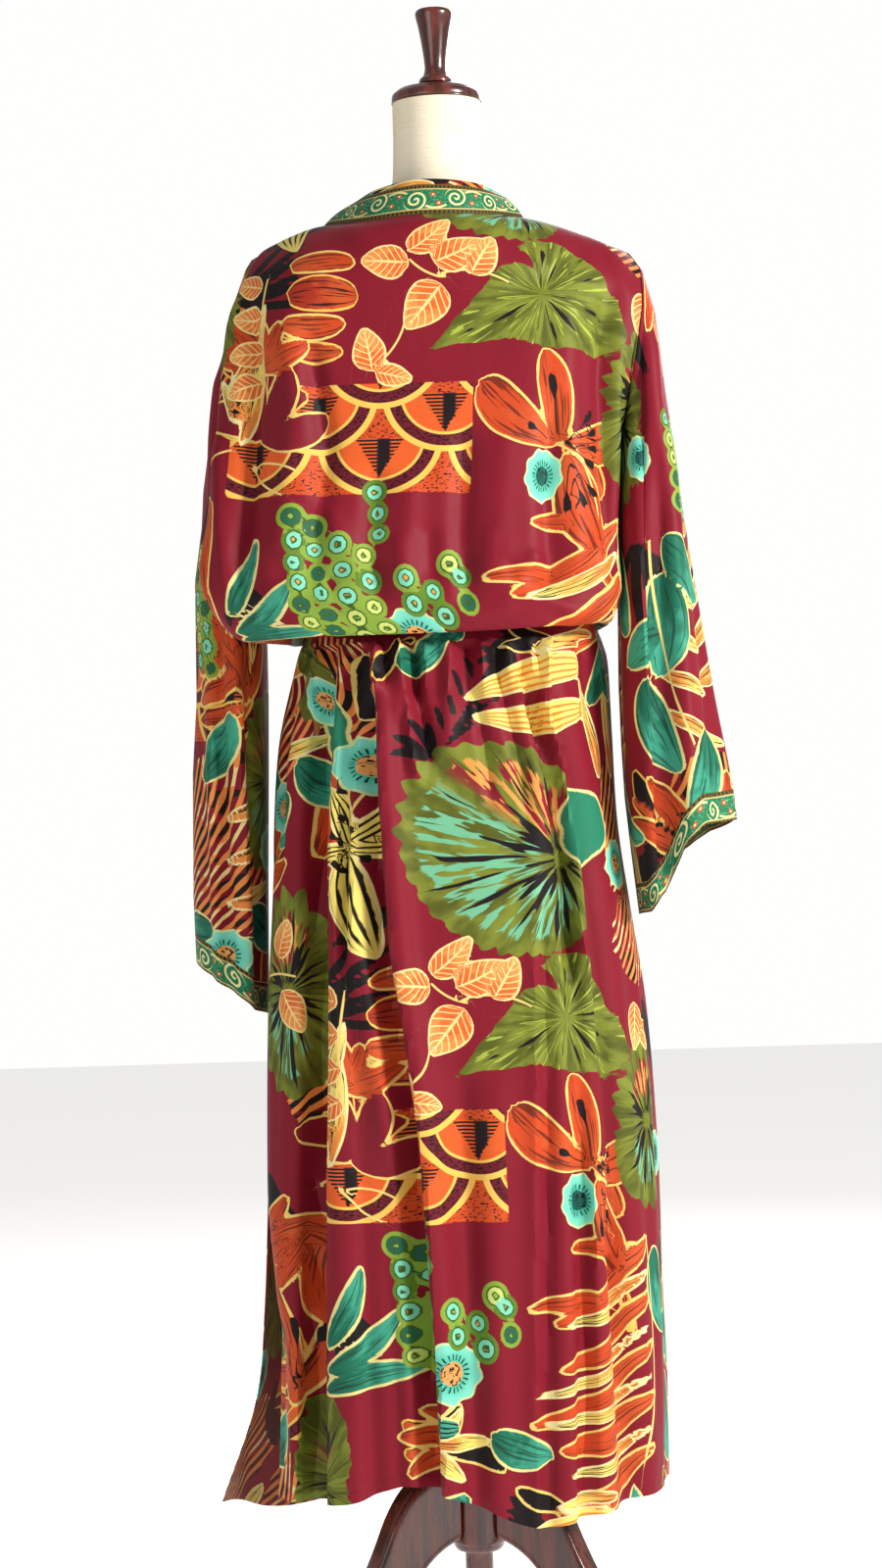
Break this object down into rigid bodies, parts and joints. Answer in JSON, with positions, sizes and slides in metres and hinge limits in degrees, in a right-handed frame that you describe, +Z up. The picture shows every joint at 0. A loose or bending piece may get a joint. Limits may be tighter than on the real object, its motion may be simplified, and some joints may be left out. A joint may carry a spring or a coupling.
{
  "type": "kimono duster on a dress form",
  "caption": "Long printed kimono duster with wide hanging sleeves, bordered neck and cuffs and a tied belt, bloused at the waist on a turned wooden tripod dress form.",
  "frame": {"origin": "on the floor, at the middle of the part's bounding box", "axes": "+Z up along the form's pole; the garment's back faces -Y and its front +Y; the wearer's left side is at -X"},
  "size_m": [0.5558, 0.441, 1.7255],
  "materials": {
    "printed_crepe": "thin soft crepe, maroon ground with a large multicolour leaf and flower print, soft sheen",
    "border_print": "the same cloth printed with a green scroll border between olive guard stripes",
    "linen_cover": "matte plain linen over a hard form",
    "dark_wood": "turned and sawn wood, red-brown stain, glossy varnish"
  },
  "bodies": {
    "root": {"back": "printed_crepe", "front_left": "printed_crepe", "front_right": "printed_crepe", "sleeve_left": "printed_crepe", "sleeve_right": "printed_crepe", "cuff_left": "border_print", "cuff_right": "border_print", "neck_band": "border_print", "belt": "printed_crepe", "belt_knot": "printed_crepe", "belt_tail_1": "printed_crepe", "belt_tail_2": "printed_crepe", "form_body": "linen_cover", "neck_cap": "dark_wood", "finial": "dark_wood", "pole": "dark_wood", "hub": "dark_wood", "leg_1": "dark_wood", "leg_2": "dark_wood", "leg_3": "dark_wood"}
  },
  "joints": []
}
